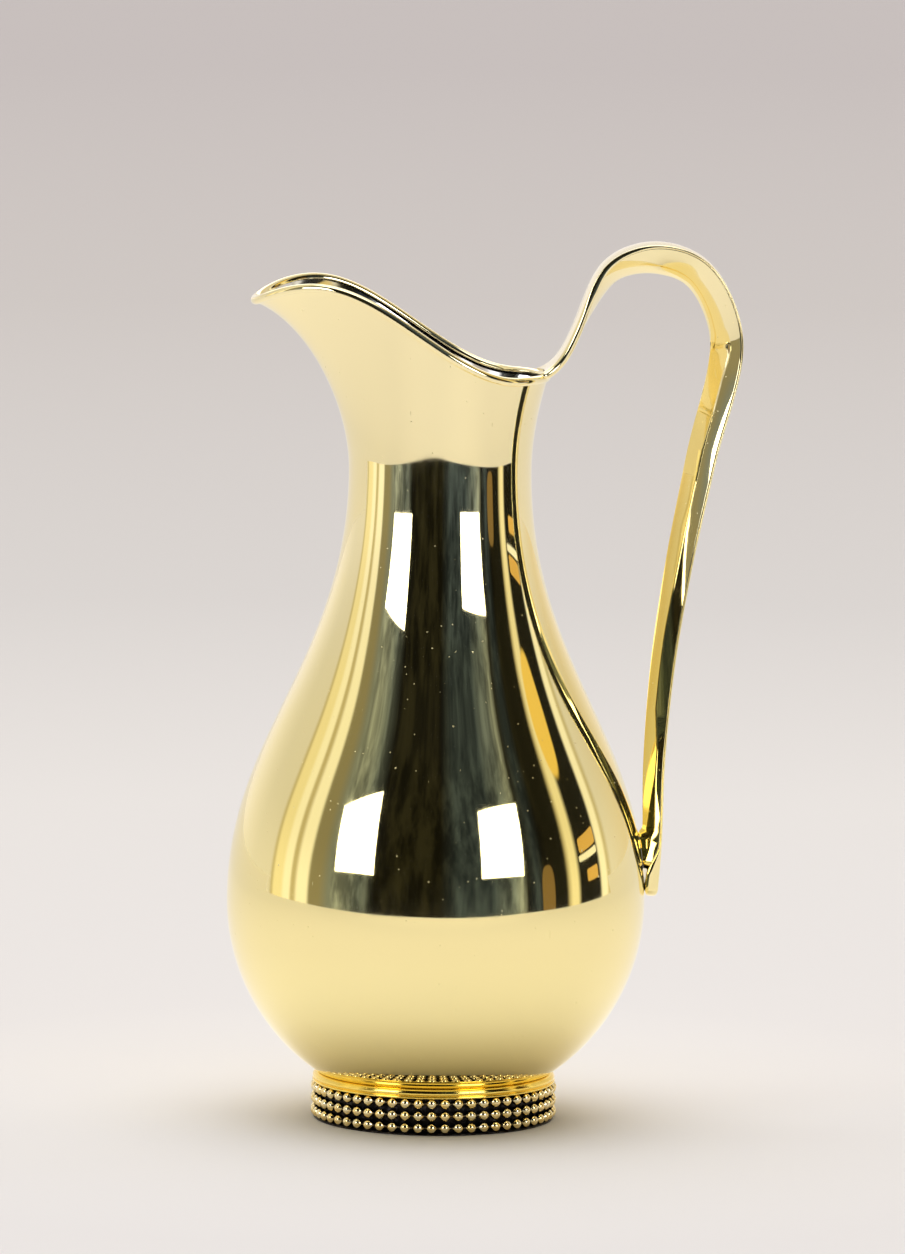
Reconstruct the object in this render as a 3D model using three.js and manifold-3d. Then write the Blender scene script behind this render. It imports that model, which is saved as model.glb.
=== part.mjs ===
// Gilt silver jug with a beaded foot, in millimetres with +Z up.
// The spout points to -X and the handle stands at +X. The jug stands on Z = 0, and the origin is
// the middle of its footprint box: halfway between the spout's tip and the handle's back.
import * as THREE from "three";
import { mergeVertices } from "three/addons/utils/BufferGeometryUtils.js";
import Module from "manifold-3d";

// Gap left between pieces that are soldered together
const CLEARANCE = 0.3;

// Foot: a drum with three rows of beaded wire between a flat rest ring and a moulded collar
const DRUM_RADIUS = 32;
const DRUM_WALL = 1.2;
const BEAD_DIAMETER = 2.8;
const BEAD_GAP = 0.97;
const BEAD_CORE = 1.1;
const ROW_GAP = 0.65;
const ROW_NAMES = ["lower", "middle", "upper"];
const REST_THICKNESS = 0.5;
const REST_INSET = 3;
const REST_OVERHANG = 2.2;
const COLLAR_HEIGHT = 2.7;
const COLLAR_OVERHANG = 2.5;
const COLLAR_LAND = 1.4;
const COLLAR_GROOVE = 0.35;

// Body: a round bowl, a shoulder that slopes in to the neck, and a flared lip with a spout
const BELLY_RADIUS = 59.4;
const BASE_CLEARANCE = 4.5;
const SHOULDER_RISE = 123.5;
const BELLY_TANGENT = 47.5;
const NECK_TANGENT = 56.5;
const NECK_RADIUS = 25.8;
const WALL = 1;

// Lip, measured from the axis and from the neck's narrowest line
const LIP_SPOUT = 52.4;
const LIP_SIDE = 28.7;
const LIP_BACK = 30;
const LIP_BACK_RISE = 25;
const LIP_CREST_RISE = 51;
const LIP_TIP_RISE = 46.1;
const LIP_CREST_REACH = 36.2;
const LIP_LOW_REACH = 21.5;
const SPOUT_FULLNESS = 2.1;
const FLARE_POWER = 1.7;
const FLARE_SIDE_POWER = 1.15;
const FLARE_SPOUT = 0.98;
const FLARE_BACK = 0.5;
const RIM_WIRE_DIAMETER = 2.5;

// Handle: a crowned strap from the lip to the bowl, with a hollow keel-shaped trough inside its loop
const LOOP_RISE = 37.6;
const LOOP_REACH = 55.3;
const ROOT_SLOPE = 46;
const ROOT_RUN = 4.2;
const TAIL_HEIGHT = 63.6;
const TAIL_LENGTH = 16.4;
const TAIL_STANDOFF = 4.9;
const TAIL_TAPER = 1.6;
const GRIP_FULLNESS = 0.85;
const STRAP_WIDTH = 16.5;
const STRAP_ROOT_WIDTH = 22;
const STRAP_TAIL_WIDTH = 12.5;
const STRAP_ROOT_FLARE = 2.4;
const STRAP_ROOT_THICKNESS = 2.8;
const STRAP_THICKNESS = 1.6;
const STRAP_TAIL_THICKNESS = 3.4;
const TAIL_STOCK = 1.2;
const STRAP_CROWN = 0.9;
const TROUGH_DEPTH = 9.3;
const TROUGH_TAIL_DEPTH = 5.2;
const TROUGH_WALL = 0.9;
const TROUGH_INSET = 0.4;
const KEEL_POWER = 0.65;
const TROUGH_START = 12;
const TROUGH_POINT = 14;
const TROUGH_POINT_WIDTH = 3;
const TROUGH_TAIL_GAP = 7.5;
const HEEL_LENGTH = 20;
const HEEL_RISE = 6;
const HEEL_DEPTH = 2.6;
const SWELL_LENGTH = 58;
const SWELL_KEPT = 100;

// Facets
const BODY_COLUMNS = 44;
const BOWL_ROWS = 8;
const SHOULDER_ROWS = 8;
const FLARE_ROWS = 7;
const FOOT_COLUMNS = 56;
const RIM_STEPS = 64;
const WIRE_SIDES = 8;
const BEAD_STEPS = 4;
const BEAD_SIDES = 6;
const HANDLE_STEPS = 40;
const CROWN_STEPS = 4;
const KEEL_SIDES = 4;
const NUDGE = 1e-3;

// Heights of the foot, from the table up
const beadRadius = BEAD_DIAMETER / 2;
const rowPitch = BEAD_DIAMETER + ROW_GAP;
const firstRow = REST_THICKNESS + CLEARANCE / 2 + beadRadius;
const collarBottom = firstRow + (ROW_NAMES.length - 1) * rowPitch + beadRadius + CLEARANCE / 2;
const collarTop = collarBottom + COLLAR_HEIGHT;
const beadCircle = DRUM_RADIUS + CLEARANCE / 2 + beadRadius;
const seatRadius = DRUM_RADIUS + COLLAR_LAND;

// Heights of the body, which sits in the collar
const bellyHeight = collarTop + Math.sqrt(BELLY_RADIUS ** 2 - (seatRadius - CLEARANCE) ** 2);
const neckHeight = bellyHeight + SHOULDER_RISE;
const wireRadius = RIM_WIRE_DIAMETER / 2;

const gilt = new THREE.MeshStandardMaterial({ color: "#d8b55c", roughness: 0.12, metalness: 1 });
const wornGilt = new THREE.MeshStandardMaterial({ color: "#e2cf8f", roughness: 0.25, metalness: 1 });
const oxidised = new THREE.MeshStandardMaterial({ color: "#1d1814", roughness: 0.5, metalness: 0.8 });

const wasm = await Module();
wasm.setup();

function smooth(share) {
  const s = THREE.MathUtils.clamp(share, 0, 1);
  return s * s * (3 - 2 * s);
}

// Joins rings of points into one closed skin. Flat outlines of the first and last ring close its
// ends; without them the last ring is joined to the first.
function skin(rings, firstOutline, lastOutline) {
  const count = rings[0].length;
  const capped = firstOutline !== undefined;
  const positions = rings.flat().flatMap((point) => point.toArray());
  const triangles = [];
  const bands = capped ? rings.length - 1 : rings.length;
  for (let band = 0; band < bands; band += 1) {
    const low = band * count;
    const high = ((band + 1) % rings.length) * count;
    for (let side = 0; side < count; side += 1) {
      const next = (side + 1) % count;
      triangles.push([low + side, low + next, high + next], [low + side, high + next, high + side]);
    }
  }
  if (capped) {
    const last = (rings.length - 1) * count;
    for (const [a, b, c] of capTriangles(firstOutline)) {
      triangles.push([c, b, a]);
    }
    for (const [a, b, c] of capTriangles(lastOutline)) {
      triangles.push([last + a, last + b, last + c]);
    }
  }
  return closedGeometry(positions, triangles);
}

// Triangles of a flat outline, turning the same way as its corners
function capTriangles(outline) {
  const faces = THREE.ShapeUtils.triangulateShape(outline, []);
  return THREE.ShapeUtils.isClockWise(outline) ? faces.map(([a, b, c]) => [c, b, a]) : faces;
}

// A geometry whose faces point outward, whichever way the triangles were listed
function closedGeometry(positions, triangles) {
  const corner = (index) => new THREE.Vector3().fromArray(positions, index * 3);
  const volume = triangles.reduce(
    (sum, [a, b, c]) => sum + corner(a).dot(corner(b).cross(corner(c))), 0);
  const facing = volume > 0 ? triangles : triangles.map(([a, b, c]) => [c, b, a]);
  const geometry = new THREE.BufferGeometry();
  geometry.setAttribute("position", new THREE.Float32BufferAttribute(positions, 3));
  geometry.setIndex(facing.flat());
  return geometry;
}

function solidOf(geometry) {
  const bare = geometry.clone();
  bare.deleteAttribute("normal");
  bare.deleteAttribute("uv");
  const merged = mergeVertices(bare, NUDGE);
  return new wasm.Manifold(new wasm.Mesh({
    numProp: 3,
    vertProperties: merged.attributes.position.array,
    triVerts: new Uint32Array(merged.index.array),
  }));
}

function subtract(geometry, cutter) {
  const mesh = solidOf(geometry).subtract(solidOf(cutter)).getMesh();
  const result = new THREE.BufferGeometry();
  result.setAttribute("position", new THREE.BufferAttribute(new Float32Array(mesh.vertProperties), 3));
  result.setIndex(new THREE.BufferAttribute(new Uint32Array(mesh.triVerts), 1));
  return result;
}

// A ring turned about the upright axis from [radius, height] corners of its section
function turned(section) {
  const closed = [...section, section[0]].map(([radius, height]) => new THREE.Vector2(radius, height));
  return new THREE.LatheGeometry(closed, FOOT_COLUMNS).rotateX(Math.PI / 2);
}

// Half profile of the bowl and shoulder, from the flat under the bowl up to the neck
function bodyProfile() {
  const lowest = -Math.asin(Math.min(1, (bellyHeight - BASE_CLEARANCE) / BELLY_RADIUS));
  const points = [];
  for (let row = 0; row < BOWL_ROWS; row += 1) {
    const latitude = lowest * (1 - row / BOWL_ROWS);
    points.push(new THREE.Vector2(
      BELLY_RADIUS * Math.cos(latitude), bellyHeight + BELLY_RADIUS * Math.sin(latitude)));
  }
  const shoulder = new THREE.CubicBezierCurve(
    new THREE.Vector2(BELLY_RADIUS, bellyHeight),
    new THREE.Vector2(BELLY_RADIUS, bellyHeight + BELLY_TANGENT),
    new THREE.Vector2(NECK_RADIUS, neckHeight - NECK_TANGENT),
    new THREE.Vector2(NECK_RADIUS, neckHeight));
  return points.concat(shoulder.getPoints(SHOULDER_ROWS));
}

// Radius of the bowl or shoulder at a height
function bodyRadius(height) {
  const profile = bodyProfile();
  const above = profile.findIndex((point) => point.y >= height);
  const [low, high] = [profile[above - 1], profile[above]];
  return THREE.MathUtils.mapLinear(height, low.y, high.y, low.x, high.x);
}

// Lip in plan: a round back and a fuller, pointed spout on the -X side
function lipRadius(angle) {
  const [across, along] = [Math.abs(Math.sin(angle)), Math.cos(angle)];
  const [reach, power] = along < 0 ? [LIP_SPOUT, SPOUT_FULLNESS] : [LIP_BACK, 2];
  return ((Math.abs(along) / reach) ** power + (across / LIP_SIDE) ** power) ** (-1 / power);
}

// Lip from the side: low at the back, rising to a crest, drooping a little to the spout's tip
function lipRise(x) {
  const climb = smooth((LIP_LOW_REACH - x) / (LIP_LOW_REACH + LIP_CREST_REACH));
  const droop = Math.max(0, (-x - LIP_CREST_REACH) / (LIP_SPOUT - LIP_CREST_REACH)) ** 2;
  return LIP_BACK_RISE + (LIP_CREST_RISE - LIP_BACK_RISE) * climb - (LIP_CREST_RISE - LIP_TIP_RISE) * droop;
}

// A point of the flare above the neck; share runs from 0 at the neck to 1 at the lip
function flarePoint(angle, share) {
  const reach = lipRadius(angle);
  const rise = lipRise(reach * Math.cos(angle));
  const turn = THREE.MathUtils.lerp(FLARE_BACK, FLARE_SPOUT, smooth((1 - Math.cos(angle)) / 2));
  const power = THREE.MathUtils.lerp(FLARE_POWER, FLARE_SIDE_POWER, Math.sin(angle) ** 2);
  const bend = (part) => 1 - Math.max(0, 1 - (turn * part) ** power) ** (1 / power);
  const radius = NECK_RADIUS + (reach - NECK_RADIUS) * bend(share) / bend(1);
  return new THREE.Vector3(
    radius * Math.cos(angle), radius * Math.sin(angle), neckHeight + rise * share);
}

// The body's outer skin as a function of angle and row, and its normal there
function bodyPoint(profile, angle, row) {
  if (row >= profile.length - 1) {
    return flarePoint(angle, (row - profile.length + 1) / FLARE_ROWS);
  }
  const low = Math.floor(row);
  const point = profile[low].clone().lerp(profile[low + 1], row - low);
  return new THREE.Vector3(point.x * Math.cos(angle), point.x * Math.sin(angle), point.y);
}

function bodyNormal(profile, angle, row, lastRow) {
  const [before, after] = [Math.max(row - NUDGE, 0), Math.min(row + NUDGE, lastRow)];
  const up = bodyPoint(profile, angle, after).sub(bodyPoint(profile, angle, before));
  const around = bodyPoint(profile, angle + NUDGE, row).sub(bodyPoint(profile, angle - NUDGE, row));
  return around.cross(up).normalize();
}

function bodyShell() {
  const profile = bodyProfile();
  const lastRow = profile.length - 1 + FLARE_ROWS;
  const outer = [];
  const inner = [];
  for (let row = 0; row <= lastRow; row += 1) {
    const [outside, inside] = [[], []];
    for (let column = 0; column < BODY_COLUMNS; column += 1) {
      const angle = 2 * Math.PI * column / BODY_COLUMNS;
      const point = bodyPoint(profile, angle, row);
      const normal = bodyNormal(profile, angle, row, lastRow);
      outside.push(point);
      inside.push(point.clone().addScaledVector(normal, -WALL));
    }
    outer.push(outside);
    inner.unshift(inside);
  }
  for (const point of inner.at(-1)) {
    point.z = BASE_CLEARANCE + WALL;
  }
  const flat = (ring) => ring.map((point) => new THREE.Vector2(point.x, point.y));
  return skin([...outer, ...inner], flat(outer[0]), flat(inner.at(-1)));
}

// Centre of the rim wire: past the lip's edge, in line with the wall
function rimCentre(angle) {
  const edge = flarePoint(angle, 1);
  const along = edge.clone().sub(flarePoint(angle, 1 - 1 / (4 * FLARE_ROWS))).normalize();
  const around = flarePoint(angle + NUDGE, 1).sub(flarePoint(angle - NUDGE, 1)).normalize();
  const normal = around.clone().cross(along).normalize();
  const onward = normal.clone().cross(around).normalize();
  return edge.addScaledVector(normal, -WALL / 2).addScaledVector(onward, wireRadius + CLEARANCE);
}

// A ring of round sections around a closed line; radiusAt gives the section's radius at each step
function wireLoop(centreAt, radiusAt, steps, sides) {
  const rings = [];
  for (let step = 0; step < steps; step += 1) {
    const angle = 2 * Math.PI * step / steps;
    const centre = centreAt(angle);
    const along = centreAt(angle + NUDGE).sub(centreAt(angle - NUDGE)).normalize();
    const across = new THREE.Vector3(0, 0, 1).cross(along).normalize();
    const up = along.clone().cross(across);
    const ring = [];
    for (let side = 0; side < sides; side += 1) {
      const turn = 2 * Math.PI * side / sides;
      ring.push(centre.clone()
        .addScaledVector(across, radiusAt(step) * Math.cos(turn))
        .addScaledVector(up, radiusAt(step) * Math.sin(turn)));
    }
    rings.push(ring);
  }
  return skin(rings);
}

function rimWire() {
  return wireLoop(rimCentre, () => wireRadius, RIM_STEPS, WIRE_SIDES);
}

// One row of the foot: round beads strung on a thin core
function beadWire(height) {
  const count = Math.round(2 * Math.PI * beadCircle / (BEAD_DIAMETER + BEAD_GAP));
  const half = Math.PI * beadCircle / count;
  const radiusAt = (step) => {
    const offset = Math.abs((step % BEAD_STEPS) - BEAD_STEPS / 2) / (BEAD_STEPS / 2);
    const chord = 1 - (offset * half / beadRadius) ** 2;
    return Math.max(BEAD_CORE / 2, beadRadius * Math.sqrt(Math.max(0, chord)));
  };
  const centreAt = (angle) => new THREE.Vector3(
    beadCircle * Math.cos(angle), beadCircle * Math.sin(angle), height);
  return wireLoop(centreAt, radiusAt, count * BEAD_STEPS, BEAD_SIDES);
}

// Collar: follows the bowl inside, and is rounded outside above a groove and a flange
function footCollar() {
  const outerRadius = DRUM_RADIUS + COLLAR_OVERHANG;
  const seatSphere = BELLY_RADIUS + CLEARANCE;
  const seat = (height) => [Math.sqrt(seatSphere ** 2 - (bellyHeight - height) ** 2), height];
  const level = (share) => collarBottom + COLLAR_HEIGHT * share;
  return turned([
    seat(level(0)), [outerRadius, level(0)], [outerRadius, level(0.22)],
    [outerRadius - COLLAR_GROOVE, level(0.33)], [outerRadius, level(0.44)],
    [outerRadius, level(0.66)], [(outerRadius + seatRadius) / 2, level(0.92)],
    seat(level(1)), seat(level(0.67)), seat(level(0.33)),
  ]);
}

function footDrum() {
  const inside = DRUM_RADIUS - DRUM_WALL;
  return turned([
    [inside, REST_THICKNESS], [DRUM_RADIUS, REST_THICKNESS],
    [DRUM_RADIUS, collarBottom], [inside, collarBottom],
  ]);
}

function restRing() {
  const inside = DRUM_RADIUS - REST_INSET;
  const outside = DRUM_RADIUS + REST_OVERHANG;
  return turned([[inside, 0], [outside, 0], [outside, REST_THICKNESS], [inside, REST_THICKNESS]]);
}

// Outer line of the handle in the upright plane through spout and handle
function handleLine() {
  const root = rimCentre(0);
  const slope = THREE.MathUtils.degToRad(ROOT_SLOPE);
  const along = new THREE.Vector3(Math.cos(slope), 0, Math.sin(slope));
  const inward = new THREE.Vector3(Math.sin(slope), 0, -Math.cos(slope));
  const start = root.clone()
    .addScaledVector(along, wireRadius)
    .addScaledVector(inward, -STRAP_ROOT_THICKNESS / 2);
  const onLoop = (reach, rise) => root.clone().add(
    new THREE.Vector3(LOOP_REACH * reach, 0, LOOP_RISE * rise));
  const back = onLoop(1, 0.3);
  const tail = new THREE.Vector3(
    bodyRadius(TAIL_HEIGHT) + TAIL_STANDOFF, 0, TAIL_HEIGHT + TAIL_LENGTH);
  const onGrip = (share) => new THREE.Vector3(
    tail.x + (back.x - tail.x) * share ** 2 * (1 + GRIP_FULLNESS * share * (1 - share)), 0,
    tail.z + (back.z - tail.z) * share);
  const end = new THREE.Vector3(
    bodyRadius(TAIL_HEIGHT) + CLEARANCE + STRAP_TAIL_THICKNESS, 0, TAIL_HEIGHT);
  return new THREE.CatmullRomCurve3([
    start, start.clone().addScaledVector(along, ROOT_RUN), onLoop(0.118, 0.325),
    onLoop(0.285, 0.852), onLoop(0.545, 1), onLoop(0.82, 0.86), back,
    onGrip(0.75), onGrip(0.55), onGrip(0.35), onGrip(0.15), tail, end,
  ]);
}

// Stations along the handle: the outer line, the way in to the loop, and the strap's sizes there
function handleStations() {
  const line = handleLine();
  const length = line.getLength();
  const stations = [];
  for (let step = 0; step <= HANDLE_STEPS; step += 1) {
    const share = step / HANDLE_STEPS;
    const along = line.getTangentAt(share);
    const run = share * length;
    const left = length - run;
    const toTail = smooth(TAIL_TAPER * (1 - left / TAIL_LENGTH));
    const nearRoot = Math.exp(-run / STRAP_ROOT_FLARE);
    const width = THREE.MathUtils.lerp(STRAP_WIDTH, STRAP_TAIL_WIDTH, smooth(share))
      + (STRAP_ROOT_WIDTH - STRAP_WIDTH) * nearRoot;
    const fromRoot = smooth(run / TROUGH_START);
    const body = THREE.MathUtils.lerp(STRAP_ROOT_THICKNESS, STRAP_THICKNESS, fromRoot);
    stations.push({
      run, left, width, nearRoot,
      place: line.getPointAt(share),
      inward: new THREE.Vector3(along.z, 0, -along.x),
      thickness: THREE.MathUtils.lerp(body, STRAP_TAIL_THICKNESS + TAIL_STOCK, toTail),
      depth: troughDepth(run, length),
    });
  }
  return stations;
}

// Depth of strap and trough together: swells into the loop, thins down the grip, ends in a heel on the bowl
function troughDepth(run, length) {
  const swell = STRAP_THICKNESS + (TROUGH_DEPTH - STRAP_THICKNESS) * smooth(run / SWELL_LENGTH);
  const thinning = Math.max(0, (run - SWELL_KEPT) / (length - SWELL_KEPT));
  const heel = HEEL_DEPTH * smooth((run + HEEL_LENGTH - length) / HEEL_RISE);
  return swell - (TROUGH_DEPTH - TROUGH_TAIL_DEPTH) * thinning + heel;
}

// Puts [across, inward] corners of a section at a station; the root is bent round the lip
function placeSection(station, corners) {
  return corners.map(({ x: across, y: inward }) => {
    const sag = LIP_BACK - Math.sqrt(LIP_BACK ** 2 - Math.min(across ** 2, LIP_BACK ** 2));
    const point = station.place.clone().addScaledVector(station.inward, inward);
    return point.add(new THREE.Vector3(-sag * station.nearRoot, across, 0));
  });
}

function strapSection({ width, thickness }) {
  const [outer, inner] = [[], []];
  for (let step = 0; step <= CROWN_STEPS; step += 1) {
    const across = 2 * step / CROWN_STEPS - 1;
    outer.push(new THREE.Vector2(across * width / 2, STRAP_CROWN * across ** 2));
    inner.unshift(new THREE.Vector2(across * width / 2, thickness));
  }
  return [...outer, ...inner];
}

// The trough's walls lean in from the strap, ever more, to a rounded keel
function troughSection({ run, width, thickness, depth }) {
  const top = thickness + CLEARANCE;
  const keel = (half, drop) => {
    const points = [];
    for (let step = -KEEL_SIDES; step <= KEEL_SIDES; step += 1) {
      const down = Math.cos(Math.PI / 2 * step / KEEL_SIDES);
      points.push(new THREE.Vector2(
        Math.sign(step) * half * (1 - down) ** KEEL_POWER, top + drop * down));
    }
    return points;
  };
  const full = width - 2 * TROUGH_INSET;
  const half = THREE.MathUtils.lerp(
    TROUGH_POINT_WIDTH, full, smooth((run - TROUGH_START) / TROUGH_POINT)) / 2;
  const drop = Math.max(depth - top, TROUGH_WALL + CLEARANCE);
  return [...keel(half, drop), ...keel(half - TROUGH_WALL, drop - TROUGH_WALL).reverse()];
}

function handlePiece(stations, sectionOf) {
  const sections = stations.map(sectionOf);
  const rings = stations.map((station, index) => placeSection(station, sections[index]));
  return skin(rings, sections[0], sections.at(-1));
}

// The bowl and shoulder grown by the clearance, to shape what is soldered onto them
function bodySeat() {
  const grown = bodyProfile().map((point) => new THREE.Vector2(point.x + CLEARANCE, point.y));
  const ends = [new THREE.Vector2(0, grown[0].y), new THREE.Vector2(0, grown.at(-1).y)];
  return new THREE.LatheGeometry([ends[0], ...grown, ends[1]], BODY_COLUMNS).rotateX(Math.PI / 2);
}

// The strap is cut to the bowl at its tail and to the rim wire at its root
function handleStrap() {
  const rimSeat = wireLoop(rimCentre, () => wireRadius + CLEARANCE, RIM_STEPS, WIRE_SIDES);
  return subtract(subtract(handlePiece(handleStations(), strapSection), bodySeat()), rimSeat);
}

function handleTrough() {
  const hollow = handleStations().filter(
    ({ run, left }) => run >= TROUGH_START && left >= TROUGH_TAIL_GAP);
  return subtract(handlePiece(hollow, troughSection), bodySeat());
}

const jug = new THREE.Group();

function add(name, geometry, material) {
  const mesh = new THREE.Mesh(geometry, material);
  mesh.name = name;
  jug.add(mesh);
}

add("body_shell", bodyShell(), gilt);
add("rim_wire", rimWire(), gilt);
add("handle_strap", handleStrap(), gilt);
add("handle_trough", handleTrough(), gilt);
add("foot_collar", footCollar(), gilt);
add("foot_drum", footDrum(), oxidised);
ROW_NAMES.forEach((row, index) => {
  add(`bead_wire_${row}`, beadWire(firstRow + index * rowPitch), wornGilt);
});
add("foot_rest_ring", restRing(), oxidised);

const box = new THREE.Box3().setFromObject(jug);
jug.position.x = -(box.min.x + box.max.x) / 2;

export default jug;
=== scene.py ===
"""Looks of the gilt silver jug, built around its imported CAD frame.

Sizes are in millimetres until a mesh is made. The stage and the camera are in metres.
"""

import math

import bpy
import numpy as np
from mathutils import Matrix, Vector


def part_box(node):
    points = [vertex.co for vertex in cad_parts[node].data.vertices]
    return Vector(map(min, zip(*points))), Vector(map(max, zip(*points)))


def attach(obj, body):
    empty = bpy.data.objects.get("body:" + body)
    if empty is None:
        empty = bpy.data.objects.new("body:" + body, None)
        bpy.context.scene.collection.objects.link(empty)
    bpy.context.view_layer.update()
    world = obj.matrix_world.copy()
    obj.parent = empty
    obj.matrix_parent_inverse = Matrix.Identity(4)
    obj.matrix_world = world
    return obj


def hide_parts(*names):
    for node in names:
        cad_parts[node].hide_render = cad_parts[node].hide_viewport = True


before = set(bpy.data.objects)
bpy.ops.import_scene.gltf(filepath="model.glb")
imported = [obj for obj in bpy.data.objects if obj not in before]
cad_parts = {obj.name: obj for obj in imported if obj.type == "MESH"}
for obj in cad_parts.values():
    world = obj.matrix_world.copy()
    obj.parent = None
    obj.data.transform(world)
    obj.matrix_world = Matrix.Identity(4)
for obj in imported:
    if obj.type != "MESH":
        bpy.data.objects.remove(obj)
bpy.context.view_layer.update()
drum_low, drum_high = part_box("foot_drum")
AXIS_X = (drum_low.x + drum_high.x) / 2
MM = 0.001

# Foot
CLEARANCE = 0.3
DRUM_RADIUS = 32
DRUM_WALL = 1.2
DRUM_COLUMNS = 160
BEAD_DIAMETER = 2.8
BEAD_SWELL = 0.1
BEAD_COUNT = 56
BEAD_STEPS = 16
BEAD_SIDES = 16
BEAD_LINK = 0.4
ROW_GAP = 0.65
REST_THICKNESS = 0.5
REST_INSET = 3
REST_OVERHANG = 2.2
COLLAR_HEIGHT = 2.7
COLLAR_OVERHANG = 2.5
COLLAR_LAND = 1.4
COLLAR_COLUMNS = 224
SEAT_GAP = 0.02
# The collar's outside: how far out it stands, and the share of its height
COLLAR_PROFILE = (
    (0, 0), (0.1, 0.11), (0, 0.21), (-0.4, 0.25), (-0.45, 0.31), (-0.1, 0.36), (0, 0.48),
    (-0.03, 0.62), (-0.2, 0.78), (-0.55, 0.92))
# Body and lip
BELLY_RADIUS = 59.4
BASE_CLEARANCE = 4.5
SHOULDER_RISE = 123.5
BELLY_TANGENT = 47.5
NECK_TANGENT = 56.5
NECK_RADIUS = 25.8
WALL = 1
LIP_SPOUT = 52.4
LIP_SIDE = 28.7
LIP_BACK = 30
LIP_BACK_RISE = 25
LIP_CREST_RISE = 51
LIP_TIP_RISE = 46.1
LIP_CREST_REACH = 36.2
LIP_LOW_REACH = 21.5
LIP_EXTRA = 0.8
SPOUT_FULLNESS = 2.1
FLARE_POWER = 1.7
FLARE_SIDE_POWER = 1.15
FLARE_SPOUT = 0.98
FLARE_BACK = 0.5
WIRE_RADIUS = 1.25
WIRE_SEAT = 0.65
WIRE_STEPS = 320
WIRE_SIDES = 20
BODY_COLUMNS = 240
BOWL_ROWS = 56
SHOULDER_ROWS = 96
FLARE_ROWS = 64
# Easing of the bend at the neck
EASE_SPREAD = 3.0
EASE_STEP = 0.25
EASE_TAPS = 72
EASE_ZONE = 13
EASE_BELOW = 60
EASE_ABOVE = 20
EASE_SAMPLES = 400
# Handle
LOOP_RISE = 37.6
LOOP_REACH = 55.3
# Points round the loop, as shares of its reach and rise, and down the grip, as shares of its height
LOOP_KNOTS = ((0.118, 0.325), (0.285, 0.852), (0.545, 1), (0.82, 0.86), (1, 0.3))
GRIP_KNOTS = (0.75, 0.55, 0.35, 0.15)
ROOT_SLOPE = 46
ROOT_RUN = 4.2
TAIL_HEIGHT = 63.6
TAIL_LENGTH = 16.4
TAIL_STANDOFF = 4.9
TAIL_TAPER = 1.6
GRIP_FULLNESS = 0.85
STRAP_WIDTH = 16.5
STRAP_ROOT_WIDTH = 22
STRAP_TAIL_WIDTH = 12.5
WIDTH_KEPT = 100
STRAP_ROOT_FLARE = 2.4
STRAP_ROOT_THICKNESS = 2.8
STRAP_THICKNESS = 1.0
STRAP_TAIL_THICKNESS = 3.4
STRAP_CROWN = 0.45
STRAP_RUNS = 330
CROWN_POINTS = 13
EDGE_STEPS = 12
INNER_POINTS = 9
TROUGH_SHALLOW = 1.6
TROUGH_DEPTH = 9.3
TROUGH_TAIL_DEPTH = 5.2
TROUGH_LEAST_DROP = 0.6
TROUGH_OVERLAP = 0.1
TROUGH_INSET = 0.4
TROUGH_START = 12
TROUGH_POINT = 14
TROUGH_POINT_WIDTH = 3
TROUGH_TAIL_GAP = 7.5
TROUGH_RUNS = 320
KEEL_POINTS = 61
HEEL_LENGTH = 20
HEEL_RISE = 3.5
HEEL_DEPTH = 2.6
HEEL_GAP = 0.05
ROOT_THINNING = 75
SWELL_LENGTH = 58
SWELL_KEPT = 100
TIP_ROUND = 2.6
TROUGH_END_ROUND = 3.2
END_STEPS = 14
END_TURN = 80
SPLINE_SAMPLES = 200
PATH_POINTS = 600
PATH_EASE = 6
# Run along the handle, and how full the keel-shaped trough is there: a V at 1, a blunt U near 0.5
KEEL_POWER = (
    (0, 0.65), (50, 0.64), (90, 0.72), (95, 0.80), (103, 0.80), (112, 0.74), (128, 0.70), (140, 0.74),
    (160, 0.73), (178, 0.67), (190, 0.64), (205, 0.66), (253, 0.70))
# Along the grip the wall is two flats: how much so, the outer flat's share of the depth,
# and its lean in degrees at the strap and at the crease
FLATS = ((88, 0.0), (97, 0.85))
FLAT_SHARE = ((97, 0.40), (106, 0.50), (160, 0.50), (180, 0.60), (200, 0.60), (211, 0.36))
FLAT_LEAN = (
    (101, 37.0), (106, 33.8), (126, 30.5), (142, 34.5), (148, 37.5), (170, 37.5), (190, 39.0),
    (202, 38.5), (211, 22.0))
CREASE_LEAN = ((0, 37.0), (100, 38.0), (107, 38.5), (170, 38.5), (190, 40.0), (202, 39.5), (211, 24.0))
# How far the strap's edge is rounded over: like a blade at the root, square where the loop starts
EDGE_REACH = ((0, 1.8), (20, 1.6), (27, 0.4), (45, 0.4), (53, 0.6))
EDGE_SQUARE = ((20, 1.0), (27, 0.6), (45, 0.6), (53, 1.0))
# Camera, from the photograph: level distance and heights in metres, angles in degrees
PHOTO_HEIGHT = 1254
FOCAL_PIXELS = 8876.7
VIEW_DISTANCE = 2.5
VIEW_HEIGHT = 0.4228
VIEW_AZIMUTH = -2.5
VIEW_PITCH = 6.446
VIEW_YAW = 0.091
VIEW_ROLL = 0.637
VIEW_END = 100.0

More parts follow.
